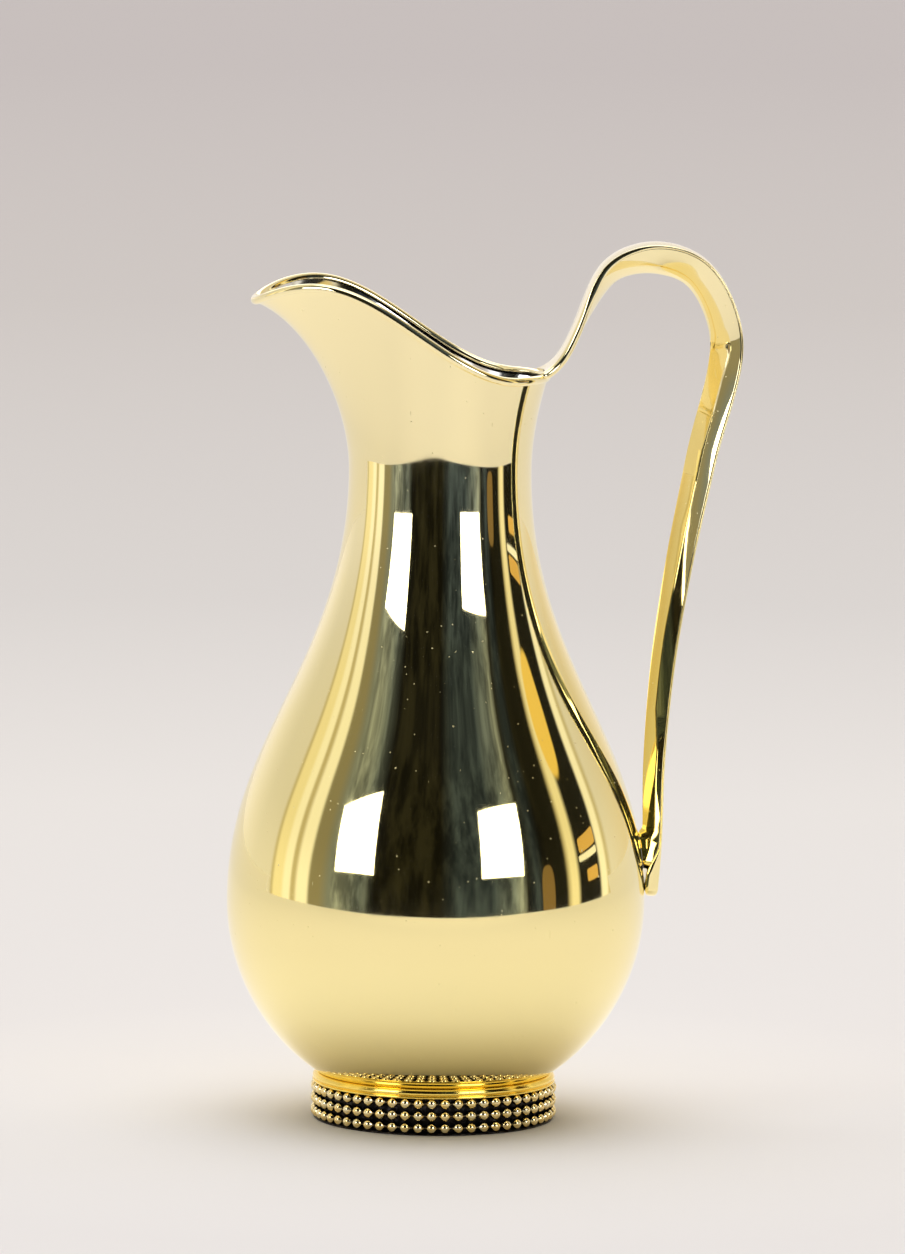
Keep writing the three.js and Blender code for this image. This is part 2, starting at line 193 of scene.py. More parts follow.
bead_radius = BEAD_DIAMETER / 2
row_pitch = BEAD_DIAMETER + ROW_GAP
first_row = REST_THICKNESS + CLEARANCE / 2 + bead_radius
collar_bottom = first_row + 2 * row_pitch + bead_radius + CLEARANCE / 2
collar_top = collar_bottom + COLLAR_HEIGHT
bead_circle = DRUM_RADIUS + CLEARANCE / 2 + bead_radius
seat_radius = DRUM_RADIUS + COLLAR_LAND
belly_height = collar_top + math.sqrt(BELLY_RADIUS ** 2 - (seat_radius - CLEARANCE) ** 2)
neck_height = belly_height + SHOULDER_RISE


# Mesh helpers

def smooth(share):
    s = np.clip(share, 0, 1)
    return s * s * (3 - 2 * s)


def lerp(a, b, share):
    return a + (b - a) * share


def unit(vectors):
    """The vectors at length 1."""
    return vectors / np.linalg.norm(vectors, axis=-1, keepdims=True)


def piece(name, points, faces, materials, node, face_material=None):
    """A smooth mesh from points in millimetres about the jug's axis, standing for a CAD node."""
    mesh = bpy.data.meshes.new(name)
    placed = np.asarray(points, float) * MM + np.array([AXIS_X, 0, 0])
    mesh.from_pydata(placed.tolist(), [], faces)
    for material in materials:
        mesh.materials.append(material)
    mesh.polygons.foreach_set("use_smooth", [True] * len(mesh.polygons))
    if face_material is not None:
        mesh.polygons.foreach_set("material_index", face_material)
    mesh.update()
    obj = bpy.data.objects.new(name, mesh)
    bpy.context.collection.objects.link(obj)
    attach(obj, "root")
    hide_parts(node)


def grid_faces(rows, columns, closed_rows=False):
    """Quads joining rings of points, each closed round; closed_rows joins the last ring to the first."""
    faces = []
    for row in range(rows if closed_rows else rows - 1):
        low = row * columns
        high = ((row + 1) % rows) * columns
        for column in range(columns):
            after = (column + 1) % columns
            faces.append((low + column, low + after, high + after, high + column))
    return faces


def outward(points, faces):
    """The faces turned so that they face out of the closed mesh."""
    p = np.asarray(points, float)
    volume = 0.0
    for face in faces:
        for second, third in zip(face[1:-1], face[2:]):
            volume += p[face[0]] @ np.cross(p[second], p[third])
    return faces if volume > 0 else [tuple(reversed(face)) for face in faces]


def ring_section(inner, outer, low, high):
    return [(inner, low), (outer, low), (outer, high), (inner, high)]


def turned(section, columns):
    """Points and faces of a ring turned about the axis from a closed section of (radius, height)."""
    angles = 2 * math.pi * np.arange(columns) / columns
    rings = [np.stack([r * np.cos(angles), r * np.sin(angles), np.full(columns, z)], 1) for r, z in section]
    points = np.concatenate(rings)
    return points, outward(points, grid_faces(len(section), columns, closed_rows=True))


def rounded(corners, radius, steps):
    """A closed outline with its corners rounded off, at most 0.45 of the way along each side."""
    out = []
    count = len(corners)
    for i in range(count):
        before, at, after = (np.asarray(corners[(i + k) % count], float) for k in (-1, 0, 1))
        reach = min(radius, np.linalg.norm(before - at) * 0.45, np.linalg.norm(after - at) * 0.45)
        a = at + unit(before - at) * reach
        b = at + unit(after - at) * reach
        for step in range(steps + 1):
            s = step / steps
            out.append(tuple((1 - s) ** 2 * a + 2 * s * (1 - s) * at + s * s * b))
    return out


# Body

def lip_radius(angle):
    across, along = np.abs(np.sin(angle)), np.cos(angle)
    reach = np.where(along < 0, LIP_SPOUT, LIP_BACK)
    power = np.where(along < 0, SPOUT_FULLNESS, 2.0)
    return ((np.abs(along) / reach) ** power + (across / LIP_SIDE) ** power) ** (-1 / power)


def lip_rise(x):
    climb = smooth((LIP_LOW_REACH - x) / (LIP_LOW_REACH + LIP_CREST_REACH))
    droop = np.maximum(0, (-x - LIP_CREST_REACH) / (LIP_SPOUT - LIP_CREST_REACH)) ** 2
    crest = LIP_BACK_RISE + (LIP_CREST_RISE - LIP_BACK_RISE) * climb
    return crest - (LIP_CREST_RISE - LIP_TIP_RISE) * droop


def flare(angle, share):
    """Radius and height of the flare; share runs from 0 at the neck to 1 at the lip."""
    reach = lip_radius(angle)
    rise = lip_rise(reach * np.cos(angle))
    turn = lerp(FLARE_BACK, FLARE_SPOUT, smooth((1 - np.cos(angle)) / 2))
    power = lerp(FLARE_POWER, FLARE_SIDE_POWER, np.sin(angle) ** 2)

    def bend(part):
        return 1 - (1 - (turn * part) ** power) ** (1 / power)

    return NECK_RADIUS + (reach - NECK_RADIUS) * bend(share) / bend(1.0), neck_height + rise * share


def lower_profile(bowl_rows, shoulder_rows):
    """Radius and height of the bowl and shoulder, from the flat under the bowl up to the neck."""
    lowest = -math.asin((belly_height - BASE_CLEARANCE) / BELLY_RADIUS)
    latitude = lowest * (1 - np.arange(bowl_rows) / bowl_rows)
    bowl = np.stack([BELLY_RADIUS * np.cos(latitude), belly_height + BELLY_RADIUS * np.sin(latitude)], 1)
    t = np.linspace(0, 1, shoulder_rows + 1)[:, None]
    corners = np.array([
        [BELLY_RADIUS, belly_height], [BELLY_RADIUS, belly_height + BELLY_TANGENT],
        [NECK_RADIUS, neck_height - NECK_TANGENT], [NECK_RADIUS, neck_height]])
    shoulder = ((1 - t) ** 3 * corners[0] + 3 * t * (1 - t) ** 2 * corners[1]
                + 3 * t * t * (1 - t) * corners[2] + t ** 3 * corners[3])
    return np.concatenate([bowl, shoulder])


def body_radius(height):
    profile = lower_profile(bowl_rows=60, shoulder_rows=120)
    return np.interp(height, profile[:, 1], profile[:, 0])


def body_outer():
    """Grid of points of the outer skin, rows from the base to the lip, with the neck's bend eased."""
    angles = 2 * math.pi * np.arange(BODY_COLUMNS) / BODY_COLUMNS
    profile = lower_profile(BOWL_ROWS, SHOULDER_ROWS)
    flared = [flare(angles, share) for share in np.linspace(0, 1, FLARE_ROWS + 1)[1:]]
    radius = np.concatenate([np.repeat(profile[:, :1], BODY_COLUMNS, 1), [r for r, z in flared]])
    height = np.concatenate([np.repeat(profile[:, 1:], BODY_COLUMNS, 1), [z for r, z in flared]])
    kernel = np.exp(-(np.arange(-EASE_TAPS, EASE_TAPS + 1) * EASE_STEP / EASE_SPREAD) ** 2 / 2)
    kernel /= kernel.sum()
    fine = np.linspace(0, 1, EASE_SAMPLES)
    for column, angle in enumerate(angles):
        r, z = flare(np.full(fine.size, angle), fine)
        all_z = np.concatenate([profile[BOWL_ROWS:-1, 1], z])
        all_r = np.concatenate([profile[BOWL_ROWS:-1, 0], r])
        even_z = np.arange(neck_height - EASE_BELOW, z[-1] + EASE_ABOVE, EASE_STEP)
        slope = (r[-1] - r[-4]) / (z[-1] - z[-4])
        onward = r[-1] + slope * (even_z - z[-1])
        even_r = np.where(even_z <= z[-1], np.interp(even_z, all_z, all_r), onward)
        eased = np.convolve(np.pad(even_r, EASE_TAPS, mode="edge"), kernel, mode="valid")
        weight = np.exp(-((even_z - neck_height) / EASE_ZONE) ** 2)
        radius[:, column] += np.interp(height[:, column], even_z, weight * (eased - even_r), left=0, right=0)
    return np.stack([radius * np.cos(angles), radius * np.sin(angles), height], 2)


def grid_normals(grid):
    around = np.roll(grid, -1, 1) - np.roll(grid, 1, 1)
    return unit(np.cross(around, np.gradient(grid, axis=0)))


def build_body(outside, inside):
    outer = body_outer()
    normals = grid_normals(outer)
    tip = unit(outer[-1] - outer[-2])
    outer = np.concatenate([outer, [outer[-1] + tip * LIP_EXTRA]])
    normals = np.concatenate([normals, normals[-1:]])
    inner = (outer - normals * WALL)[::-1]
    inner[-1, :, 2] = BASE_CLEARANCE + WALL
    rows = np.concatenate([outer, inner])
    points = rows.reshape(-1, 3)
    faces = grid_faces(len(rows), BODY_COLUMNS)
    gilded = (len(outer) - 1) * BODY_COLUMNS
    kinds = [0] * gilded + [1] * (len(faces) - gilded)
    under, floor = len(points), len(points) + 1
    points = np.concatenate([points, [[0, 0, BASE_CLEARANCE], [0, 0, BASE_CLEARANCE + WALL]]])
    last = (len(rows) - 1) * BODY_COLUMNS
    for column in range(BODY_COLUMNS):
        after = (column + 1) % BODY_COLUMNS
        faces.append((under, after, column))
        kinds.append(0)
        faces.append((floor, last + column, last + after))
        kinds.append(1)
    faces = outward(points, faces)
    piece("jug_body", points, faces, [outside, inside], "body_shell", kinds)


# Rim wire

def flare_point(angle, share):
    radius, height = flare(np.asarray(angle, float), share)
    return np.array([radius * np.cos(angle), radius * np.sin(angle), height])


def rim_centre(angle, beyond=WIRE_RADIUS + CLEARANCE):
    """Where the wire's centre lies: beyond the lip's edge, in the middle of the wall."""
    edge = flare_point(angle, 1.0)
    along = unit(edge - flare_point(angle, 1 - 1 / 28))
    around = unit(flare_point(angle + 1e-3, 1.0) - flare_point(angle - 1e-3, 1.0))
    normal = unit(np.cross(around, along))
    return edge - normal * WALL / 2 + np.cross(normal, around) * beyond


def wire_loop(centres, radii, sides):
    """Points of round sections along a closed line of centres."""
    along = unit(np.roll(centres, -1, 0) - np.roll(centres, 1, 0))
    across = unit(np.cross([0, 0, 1], along))
    up = np.cross(along, across)
    turn = 2 * math.pi * np.arange(sides) / sides
    ring = (across[:, None] * np.cos(turn)[None, :, None] + up[:, None] * np.sin(turn)[None, :, None])
    return (centres[:, None] + ring * np.asarray(radii)[:, None, None]).reshape(-1, 3)


def build_rim(material):
    angles = 2 * math.pi * np.arange(WIRE_STEPS) / WIRE_STEPS
    centres = np.array([rim_centre(angle, WIRE_SEAT) for angle in angles])
    points = wire_loop(centres, np.full(WIRE_STEPS, WIRE_RADIUS), WIRE_SIDES)
    faces = outward(points, grid_faces(WIRE_STEPS, WIRE_SIDES, closed_rows=True))
    piece("rim_bead", points, faces, [material], "rim_wire")


# Handle

def handle_knots():
    """Points of the handle's outer line in the upright plane, from the lip over the loop to the tail."""
    root = rim_centre(0.0)
    slope = math.radians(ROOT_SLOPE)
    along = np.array([math.cos(slope), 0, math.sin(slope)])
    inward = np.array([math.sin(slope), 0, -math.cos(slope)])
    start = root - inward * STRAP_ROOT_THICKNESS / 2
    loop = [root + np.array([LOOP_REACH * reach, 0, LOOP_RISE * rise]) for reach, rise in LOOP_KNOTS]
    back = loop[-1]
    tail = np.array([body_radius(TAIL_HEIGHT) + TAIL_STANDOFF, 0, TAIL_HEIGHT + TAIL_LENGTH])

    def on_grip(share):
        bow = share ** 2 * (1 + GRIP_FULLNESS * share * (1 - share))
        return np.array([lerp(tail[0], back[0], bow), 0, lerp(tail[2], back[2], share)])

    end = np.array([body_radius(TAIL_HEIGHT) + CLEARANCE + STRAP_TAIL_THICKNESS, 0, TAIL_HEIGHT])
    grip = [on_grip(share) for share in GRIP_KNOTS]
    return np.array([start, start + along * (WIRE_RADIUS + ROOT_RUN), *loop, *grip, tail, end])


def spline(knots, samples):
    """Centripetal Catmull-Rom line through the knots."""
    padded = np.concatenate([[2 * knots[0] - knots[1]], knots, [2 * knots[-1] - knots[-2]]])
    line = []
    for i in range(len(knots) - 1):
        p0, p1, p2, p3 = padded[i:i + 4]
        d0, d1, d2 = (np.linalg.norm(b - a) ** 0.5 for a, b in ((p0, p1), (p1, p2), (p2, p3)))
        m1 = ((p1 - p0) / d0 - (p2 - p0) / (d0 + d1) + (p2 - p1) / d1) * d1
        m2 = ((p2 - p1) / d1 - (p3 - p1) / (d1 + d2) + (p3 - p2) / d2) * d1
        t = np.arange(samples)[:, None] / samples
        line.append(p1 + m1 * t + (-3 * p1 + 3 * p2 - 2 * m1 - m2) * t ** 2
                    + (2 * p1 - 2 * p2 + m1 + m2) * t ** 3)
    return np.concatenate(line + [knots[-1:]])


def ease(values, spread):
    """Values smoothed along the line, with both ends held."""
    reach = int(3 * spread)
    kernel = np.exp(-(np.arange(-reach, reach + 1) / spread) ** 2 / 2)
    kernel /= kernel.sum()
    out = np.empty_like(values)
    for axis in range(values.shape[1]):
        column = values[:, axis]
        before = 2 * column[0] - column[reach:0:-1]
        after = 2 * column[-1] - column[-2:-reach - 2:-1]
        out[:, axis] = np.convolve(np.concatenate([before, column, after]), kernel, mode="valid")
    return out


def handle_path():
    """Even runs along the handle, and the places and directions there."""
    line = spline(handle_knots(), SPLINE_SAMPLES)
    run = np.concatenate([[0], np.cumsum(np.linalg.norm(np.diff(line, axis=0), axis=1))])
    even = np.linspace(0, run[-1], PATH_POINTS)
    line = ease(np.stack([np.interp(even, run, line[:, k]) for k in range(3)], 1), PATH_EASE)
    return even, line, unit(np.gradient(line, axis=0))


def along_handle(knots, at):
    runs, values = zip(*knots)
    return np.interp(at, runs, values)


def handle_stations(path, at):
    """What the strap and the trough need to know at each run along the handle."""
    even, line, tangent = path
    length = even[-1]
    place = np.stack([np.interp(at, even, line[:, k]) for k in range(3)], 1)
    along = unit(np.stack([np.interp(at, even, tangent[:, k]) for k in range(3)], 1))
    inward = np.stack([along[:, 2], np.zeros(at.size), -along[:, 0]], 1)
    left = length - at
    near_root = np.exp(-at / STRAP_ROOT_FLARE)
    narrowing = smooth((at - WIDTH_KEPT) / (length - WIDTH_KEPT))
    width = lerp(STRAP_WIDTH, STRAP_TAIL_WIDTH, narrowing) + (STRAP_ROOT_WIDTH - STRAP_WIDTH) * near_root
    body = lerp(STRAP_ROOT_THICKNESS, STRAP_THICKNESS, smooth(at / ROOT_THINNING))
    to_tail = smooth(TAIL_TAPER * (1 - left / TAIL_LENGTH))
    thickness = lerp(body, STRAP_TAIL_THICKNESS + 2 * CLEARANCE, to_tail)
    swell = lerp(TROUGH_SHALLOW, TROUGH_DEPTH, smooth(at / SWELL_LENGTH))
    thinning = np.maximum(0, (at - SWELL_KEPT) / (length - SWELL_KEPT))
    heel = HEEL_DEPTH * smooth((at + HEEL_LENGTH - length) / HEEL_RISE)
    depth = swell - (TROUGH_DEPTH - TROUGH_TAIL_DEPTH) * thinning + heel
    return dict(run=at, near_root=near_root, width=width, thickness=thickness, depth=depth,
                place=place, inward=inward, power=along_handle(KEEL_POWER, at),
                edge=along_handle(EDGE_REACH, at), square=along_handle(EDGE_SQUARE, at),
                flats=along_handle(FLATS, at), share=along_handle(FLAT_SHARE, at),
                lean=np.tan(np.radians(along_handle(FLAT_LEAN, at))),
                crease_lean=np.tan(np.radians(along_handle(CREASE_LEAN, at))))


def rounded_runs(start, end, reach, steps):
    """Runs from start to end, closer together where the end is rounded off, and the size left there."""
    turn = (np.linspace(0, 1, END_STEPS) * math.radians(END_TURN))[1:]
    runs = np.concatenate([np.linspace(start, end - reach, steps), end - reach + reach * np.sin(turn)])
    return runs, np.concatenate([np.ones(steps), np.cos(turn)])


def sweep(stations, section):
    """Rings of a section carried along the handle, closed at both ends."""
    rings = []
    for i in range(stations["run"].size):
        corners = np.asarray(section(i), float)
        sag = LIP_BACK - np.sqrt(LIP_BACK ** 2 - np.minimum(corners[:, 0] ** 2, LIP_BACK ** 2))
        ring = stations["place"][i] + corners[:, 1:] * stations["inward"][i]
        ring = ring + np.stack([-sag * stations["near_root"][i], corners[:, 0], np.zeros(len(corners))], 1)
        rings.append(ring)
    columns = len(rings[0])
    points = np.concatenate(rings)
    faces = grid_faces(len(rings), columns)
    last = (len(rings) - 1) * columns
    faces.append(tuple(range(columns - 1, -1, -1)))
    faces.append(tuple(range(last, last + columns)))
    return points, outward(points, faces)


def build_strap(path, material):
    runs, kept = rounded_runs(0, path[0][-1], TIP_ROUND, STRAP_RUNS)
    stations = handle_stations(path, runs)

    def section(i):
        half, thick = stations["width"][i] / 2, stations["thickness"][i]
        edge, square = stations["edge"][i], stations["square"][i]
        across = np.linspace(-1, 1, CROWN_POINTS) * (half - edge)
        outside = np.stack([across, STRAP_CROWN * (across / half) ** 2], 1)
        crown = outside[-1][1]
        turn = math.pi * np.arange(1, EDGE_STEPS) / EDGE_STEPS
        flat = np.sign(np.cos(turn)) * np.abs(np.cos(turn)) ** square
        side = half - edge + edge * np.sin(turn) ** square
        bulge = np.stack([side, (crown + thick) / 2 - (thick - crown) / 2 * flat], 1)
        inner = np.linspace(1, -1, INNER_POINTS) * (half - edge)
        inside = np.stack([inner, np.full(INNER_POINTS, thick)], 1)
        outline = np.concatenate([outside, bulge, inside, bulge[::-1] * [-1, 1]])
        middle = np.array([0, thick / 2])
        return middle + (outline - middle) * kept[i]

    points, faces = sweep(stations, section)
    piece("handle_band", points, faces, [material], "handle_strap")


def build_trough(path, material):
    runs, kept = rounded_runs(TROUGH_START, path[0][-1] - TROUGH_TAIL_GAP, TROUGH_END_ROUND, TROUGH_RUNS)
    stations = handle_stations(path, runs)

    def section(i):
        top = stations["thickness"][i] - TROUGH_OVERLAP
        full = stations["width"][i] - 2 * TROUGH_INSET
        half = lerp(TROUGH_POINT_WIDTH, full, float(smooth((runs[i] - TROUGH_START) / TROUGH_POINT))) / 2
        drop = max(stations["depth"][i] - top, TROUGH_LEAST_DROP)
        turn = np.linspace(-math.pi / 2, math.pi / 2, KEEL_POINTS)
        down = np.cos(turn)
        bowed = (1 - down) ** stations["power"][i]
        share = stations["share"][i]
        lean, bow = stations["lean"][i], (stations["crease_lean"][i] - stations["lean"][i]) / 2
        outer = 1 - (lean * down + bow * down ** 2 / share) * drop / half
        crease = 1 - (lean + bow) * share * drop / half
        flat = np.where(down < share, outer, crease * (1 - down) / (1 - share))
        reach = half * lerp(bowed, flat, stations["flats"][i])
        outline = np.stack([np.sign(turn) * reach, top + drop * down], 1)
        seat = np.array([0, top])
        return seat + (outline - seat) * kept[i]

    points, faces = sweep(stations, section)
    from_axis = np.hypot(points[:, 0], points[:, 1])
    clear = np.maximum(1, (body_radius(points[:, 2]) + HEEL_GAP) / from_axis)
    low = points[:, 2] < TAIL_HEIGHT + HEEL_LENGTH * 2
    points[low, :2] *= clear[low, None]
    piece("handle_channel", points, faces, [material], "handle_trough")


# Foot

def build_collar(material):
    outer = DRUM_RADIUS + COLLAR_OVERHANG

    def level(share):
        return collar_bottom + COLLAR_HEIGHT * share

    def seat(share):
        """A point on the collar's inside, just clear of the bowl."""
        return math.sqrt((BELLY_RADIUS + SEAT_GAP) ** 2 - (belly_height - level(share)) ** 2), level(share)

    outside = [(outer + out, level(share)) for out, share in COLLAR_PROFILE]
    section = [seat(0), *outside, seat(1.0), seat(0.67), seat(0.33)]
    points, faces = turned(rounded(section, radius=0.12, steps=2), COLLAR_COLUMNS)
    piece("foot_moulding", points, faces, [material], "foot_collar")


def build_drum(material):
    section = ring_section(DRUM_RADIUS - DRUM_WALL, DRUM_RADIUS, REST_THICKNESS, collar_bottom)
    points, faces = turned(rounded(section, radius=0.15, steps=2), DRUM_COLUMNS)
    piece("foot_band", points, faces, [material], "foot_drum")


def build_rest(material):
    section = ring_section(DRUM_RADIUS - REST_INSET, DRUM_RADIUS + REST_OVERHANG, 0, REST_THICKNESS)
    points, faces = turned(rounded(section, radius=0.2, steps=3), DRUM_COLUMNS)
    piece("foot_base", points, faces, [material], "foot_rest_ring")


def build_beads(material):
    half = math.pi * bead_circle / BEAD_COUNT
    full = bead_radius + BEAD_SWELL
    step = np.arange(BEAD_COUNT * BEAD_STEPS)
    off = np.sin(((step % BEAD_STEPS) / BEAD_STEPS * 2 - 1) * math.pi / 2) * half
    radii = np.maximum(BEAD_LINK, np.sqrt(np.maximum(0, 1 - (off / full) ** 2)) * full)
    angles = (step // BEAD_STEPS + 0.5) * 2 * math.pi / BEAD_COUNT + off / bead_circle
    for index, row in enumerate(("lower", "middle", "upper")):
        height = np.full(angles.size, first_row + index * row_pitch)
        centres = np.stack([bead_circle * np.cos(angles), bead_circle * np.sin(angles), height], 1)
        points = wire_loop(centres, radii, BEAD_SIDES)
        faces = outward(points, grid_faces(len(centres), BEAD_SIDES, closed_rows=True))
        piece(f"beads_{row}", points, faces, [material], f"bead_wire_{row}")


# Material helpers

class Nodes:
    """A short way to add and join shader nodes."""

    def __init__(self, tree):
        self.tree = tree
        tree.nodes.clear()

    def add(self, kind, inputs=None, **settings):
        node = self.tree.nodes.new(kind)
        for key, value in settings.items():
            setattr(node, key, value)
        for key, value in (inputs or {}).items():
            self.put(node.inputs[key], value)
        return node

    def put(self, socket, value):
        if isinstance(value, bpy.types.NodeSocket):
            self.tree.links.new(value, socket)
        else:
            socket.default_value = value

    def math(self, operation, a, b=0.0):
        return self.add("ShaderNodeMath", {0: a, 1: b}, operation=operation).outputs[0]

    def axes(self, vector):
        return tuple(self.add("ShaderNodeSeparateXYZ", {0: vector}).outputs)

    def square(self, value):
        return self.math("POWER", value, 2.0)

    def level_length(self, x, y):
        return self.math("SQRT", self.math("ADD", self.square(x), self.square(y)))

    def scaled(self, vector, factor):
        return self.add("ShaderNodeVectorMath", {0: vector, "Scale": factor}, operation="SCALE").outputs[0]

    def ramp(self, value, low, high, to_low=0.0, to_high=1.0):
        """A smooth step from one number to another as a value goes from low to high."""
        return self.add("ShaderNodeMapRange", {
            "Value": value, "From Min": low, "From Max": high, "To Min": to_low, "To Max": to_high},
            interpolation_type="SMOOTHSTEP").outputs[0]

    def blend(self, factor, a, b):
        """A number between two others."""
        return self.add("ShaderNodeMix", {0: factor, 2: a, 3: b}).outputs[0]

    def mix(self, factor, a, b):
        """A colour between two others."""
        return self.add("ShaderNodeMix", {0: factor, 6: a, 7: b}, data_type="RGBA").outputs[2]

    def stops(self, value, colours):
        """Colours at given shares of a value from 0 to 1."""
        node = self.add("ShaderNodeValToRGB", {"Fac": value})
        elements = node.color_ramp.elements
        for index, (at, colour) in enumerate(colours):
            element = elements[index] if index < 2 else elements.new(at)
            element.position = at
            element.color = rgb(*colour)
        return node.outputs[0]

    def noise(self, vector, scale, detail, roughness):
        return self.add("ShaderNodeTexNoise", {
            "Vector": vector, "Scale": scale, "Detail": detail, "Roughness": roughness}).outputs[0]

    def bump(self, height, strength, distance):
        return self.add("ShaderNodeBump", {
            "Height": height, "Strength": strength, "Distance": distance}).outputs[0]


def rgb(r, g, b):
    return (r, g, b, 1.0)


def new_material(name):
    material = bpy.data.materials.new(name)
    material.use_nodes = True
    return material, Nodes(material.node_tree)


def metal(n, inputs):
    """Ends a material's nodes in a shader with these inputs."""
    shader = n.add("ShaderNodeBsdfPrincipled", inputs).outputs[0]
    n.add("ShaderNodeOutputMaterial", {"Surface": shader})


# Dust on polished metal: cells in a metre, share of the cells that hold a speck, and its size in the cell
DUST = ((170.0, 0.5, 0.05), (420.0, 0.35, 0.08))
# Scratches: turn, cells in a metre along each axis, and share of the cells that hold a scratch
SCRATCHES = (((0.5, 0.9, 0.3), (700.0, 700.0, 14.0), 0.15), ((1.9, 0.2, 1.2), (700.0, 18.0, 700.0), 0.12))
SCRATCH_SIZE = 0.06
MARK_ROUGHNESS = 0.5
MARK_DEPTH = -0.02
# Heights in metres between which the colour changes towards the lip, the gilding paler and the inside's
# silver darker as painted shade, and how far its patches shift them
PALER_FROM, PALER_TO, PALER_SHIFT = 0.09, 0.21, 0.12
# Distances in millimetres in front of the beads' centres between which the dark gaps end: painted shade on
# the beads' backs, with some oxide
GAP_DARK, GAP_END = 0.36, 0.66


def specks(n, place, scale, share, size):
    """Spots in a few of the cells of a random pattern: 1 in a spot, 0 elsewhere."""
    cells = n.add("ShaderNodeTexVoronoi", {"Vector": place, "Scale": scale, "Randomness": 1.0})
    draw = n.add("ShaderNodeSeparateColor", {"Color": cells.outputs["Color"]}).outputs[0]
    spot = n.ramp(cells.outputs["Distance"], size, size * 0.6)
    return n.math("MULTIPLY", spot, n.math("LESS_THAN", draw, share))


def scratches(n, place, turn, scale, share):
    """Short fine lines, one way round."""
    mapped = n.add("ShaderNodeMapping", {"Vector": place, "Rotation": turn, "Scale": scale}).outputs[0]
    return specks(n, mapped, 1.0, share, SCRATCH_SIZE)


def polished(name, low, high, rough, wave, coat=0.3):
    """Mirror-polished metal, one colour low down and another near the lip, with scratches and dust."""
    material, n = new_material(name)
    place = n.add("ShaderNodeTexCoord").outputs["Object"]
    level = n.axes(place)[2]
    patches = n.math("SUBTRACT", n.noise(place, 38.0, 4.0, 0.55), 0.5)
    shifted = n.math("ADD", level, n.math("MULTIPLY", patches, PALER_SHIFT))
    colour = n.mix(n.ramp(shifted, PALER_FROM, PALER_TO), low, high)
    dust = n.math("MAXIMUM", *(specks(n, place, *kind) for kind in DUST))
    lines = n.math("MAXIMUM", *(scratches(n, place, *kind) for kind in SCRATCHES))
    marks = n.math("MAXIMUM", dust, lines)
    haze = n.ramp(n.noise(place, 120.0, 6.0, 0.7), 0.4, 0.75, rough, rough * 2.2)
    roughness = n.math("ADD", haze, n.math("MULTIPLY", marks, MARK_ROUGHNESS))
    swell = n.math("MULTIPLY", n.noise(place, 45.0, 1.0, 0.4), wave)
    height = n.math("ADD", swell, n.math("MULTIPLY", marks, MARK_DEPTH))
    metal(n, {"Base Color": colour, "Metallic": 1.0, "Roughness": roughness,
              "Normal": n.bump(height, 1.0, 0.001), "Coat Weight": coat, "Coat Roughness": 0.25})
    return material


def bead_metal(name):
    """Worn pale gilding on the beads' faces, darkening into the gaps behind them: painted shade there, with
    some oxide.
    """
    material, n = new_material(name)
    place = n.add("ShaderNodeTexCoord").outputs["Object"]
    x, y, _ = n.axes(place)
    radius = n.level_length(n.math("SUBTRACT", x, AXIS_X), y)
    # The beads' backs, towards the drum, are painted near black: painted shade in the gaps, with some oxide
    front = n.ramp(radius, (bead_circle + GAP_DARK) * MM, (bead_circle + GAP_END) * MM)
    wear = n.noise(place, 420.0, 4.0, 0.6)
    gold = n.mix(n.ramp(wear, 0.4, 0.65), rgb(0.97, 0.76, 0.34), rgb(0.96, 0.87, 0.60))
    metal(n, {"Base Color": n.mix(front, rgb(0.06, 0.045, 0.03), gold), "Metallic": 1.0,
              "Roughness": n.ramp(wear, 0.3, 0.8, 0.08, 0.26),
              "Normal": n.bump(n.noise(place, 900.0, 3.0, 0.6), 0.25, 0.0002)})
    return material


def dark_metal(name):
    """Oxidised silver: near black, with grey glints."""
    material, n = new_material(name)
    grain = n.noise(n.add("ShaderNodeTexCoord").outputs["Object"], 700.0, 5.0, 0.65)
    colour = n.mix(n.ramp(grain, 0.45, 0.72), rgb(0.012, 0.010, 0.010), rgb(0.11, 0.10, 0.11))
    metal(n, {"Base Color": colour, "Metallic": 0.9, "Roughness": n.ramp(grain, 0.3, 0.8, 0.3, 0.55),
              "Normal": n.bump(grain, 0.5, 0.0003)})
    return material


# Stage: floor, softboxes and the room

# The floor's fade with distance from the jug, in shares of its range: as seen, and as the metal mirrors it.
# Both are painted light, brighter near the jug; the mirrored one starts with painted shade by the foot
FLOOR_RANGE = 6.0
FLOOR_SEEN_PAINTED_FALLOFF = [
    (0.0, (0.90, 0.88, 0.89)), (0.035, (0.81, 0.79, 0.81)), (0.115, (0.80, 0.78, 0.79)),
    (0.225, (0.69, 0.67, 0.68)), (0.51, (0.61, 0.58, 0.585)), (1.0, (0.56, 0.525, 0.54))]
FLOOR_MIRRORED_PAINTED_LIGHT = [
    (0.0066, (0.82, 0.76, 0.64)), (0.0086, (1.0, 0.97, 0.95)), (0.0135, (1.0, 0.98, 0.98)),
    (0.03, (0.93, 0.90, 0.89)), (0.135, (0.80, 0.775, 0.765)), (1.0, (0.82, 0.79, 0.77))]
FLOOR_SIZE = 40.0
# The mirrored floor is brighter at the table's front edge: painted light towards the softboxes
LIFT_FROM, LIFT_TO, PAINTED_LIGHT_LIFT = -0.75, -0.35, 1.12
TABLE_FRONT = -0.87
TABLE_SIDE = 1.1
TABLE_BACK = math.tan(math.radians(18))
# Softboxes: azimuths from the front in degrees and heights of the corners, and strength
SOFTBOX_DISTANCE = 1.13
SOFTBOX_SPILL = 0.1
SOFTBOXES = {
    "softbox_left": ([(-59.5, 0.22), (-36.5, 0.235), (-38, 0.80), (-62, 0.62)], 4.6),
    "softbox_right": ([(22.7, 0.23), (46.8, 0.22), (49, 0.68), (23.5, 0.70)], 5.4)}
